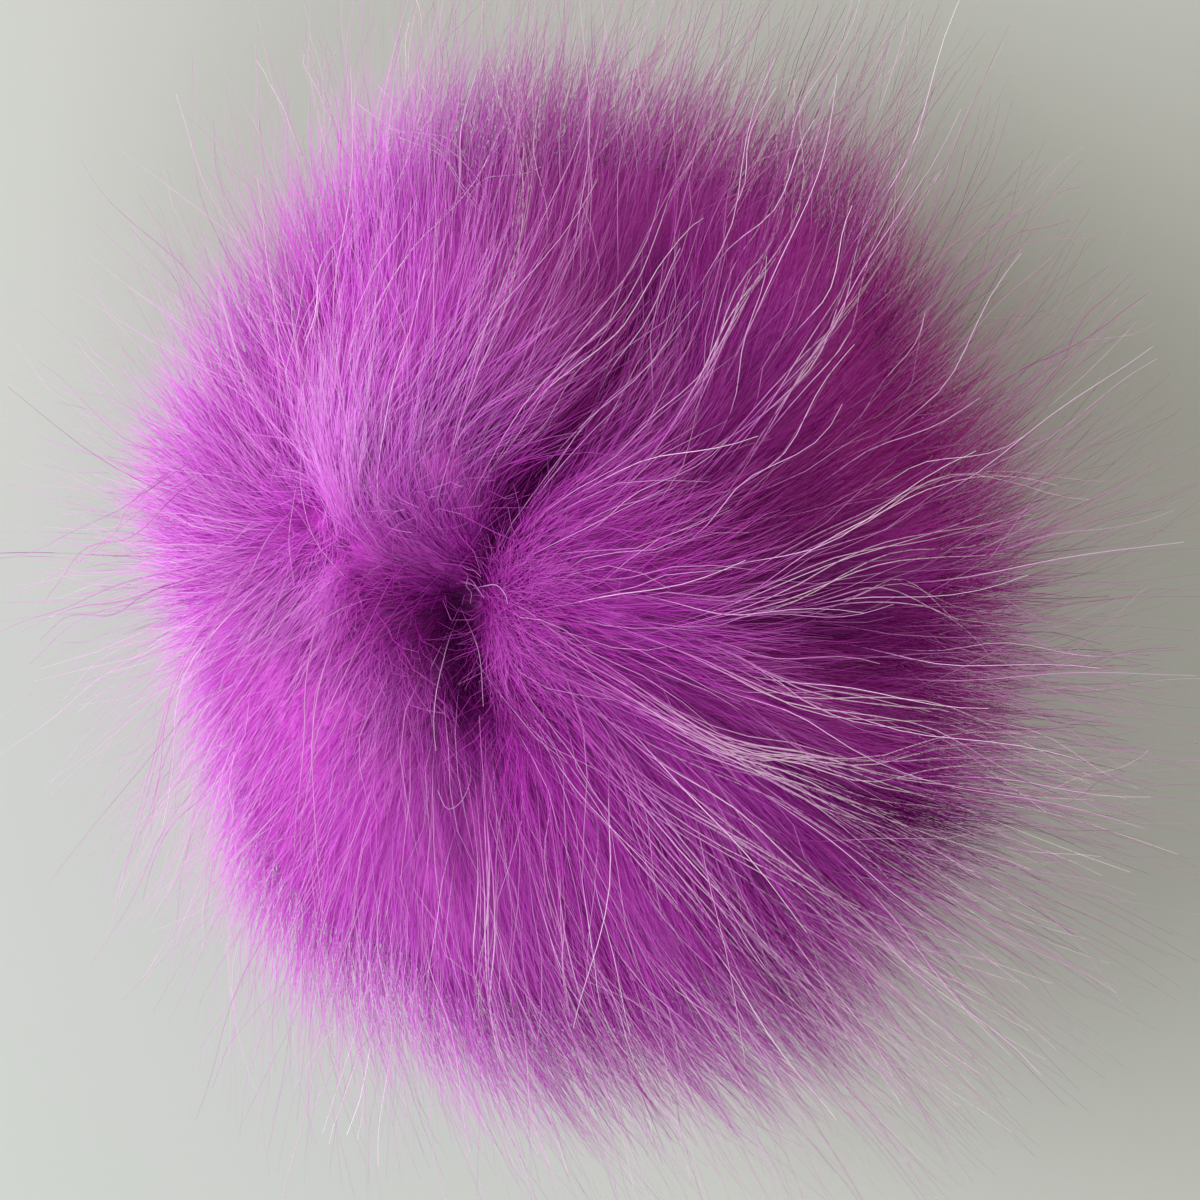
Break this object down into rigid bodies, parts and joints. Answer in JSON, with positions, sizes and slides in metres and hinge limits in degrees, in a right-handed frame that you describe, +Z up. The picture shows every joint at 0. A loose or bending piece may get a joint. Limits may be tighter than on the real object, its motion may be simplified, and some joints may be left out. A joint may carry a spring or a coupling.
{
  "type": "fur pom pom",
  "caption": "Round pom pom of long soft fur that parts at its gather, lying loose on its flat spot",
  "frame": {"origin": "centre of the flat spot on which the ball rests", "axes": "+Z up from the surface it rests on, +X to the right and +Y to the top of the picture, which looks down on it"},
  "size_m": [0.1372, 0.1477, 0.0802],
  "materials": {
    "fur": "soft sheen"
  },
  "bodies": {
    "root": {"fur_ball": "fur"}
  },
  "joints": []
}
